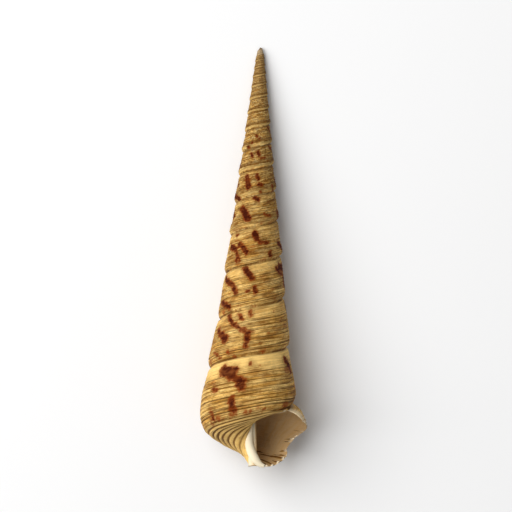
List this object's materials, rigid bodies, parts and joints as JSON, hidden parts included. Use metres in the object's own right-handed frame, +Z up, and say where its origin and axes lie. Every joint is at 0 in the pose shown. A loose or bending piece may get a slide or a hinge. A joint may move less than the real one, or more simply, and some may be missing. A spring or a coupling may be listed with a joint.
{
  "type": "turret shell",
  "caption": "Long, slender spiral sea shell with fine spiral cords, a pointed spire and an open mouth, lying on its side with the mouth up.",
  "frame": {"origin": "on the surface that the shell lies on, under the middle of its bounding box", "axes": "+Z up, +Y towards the pointed tip, +X to the side of the outer lip"},
  "size_m": [0.029, 0.1094, 0.0258],
  "materials": {
    "shell": "satin, tan with darker spiral grooves and brown blotches"
  },
  "bodies": {
    "root": {"shell": "shell"}
  },
  "joints": []
}
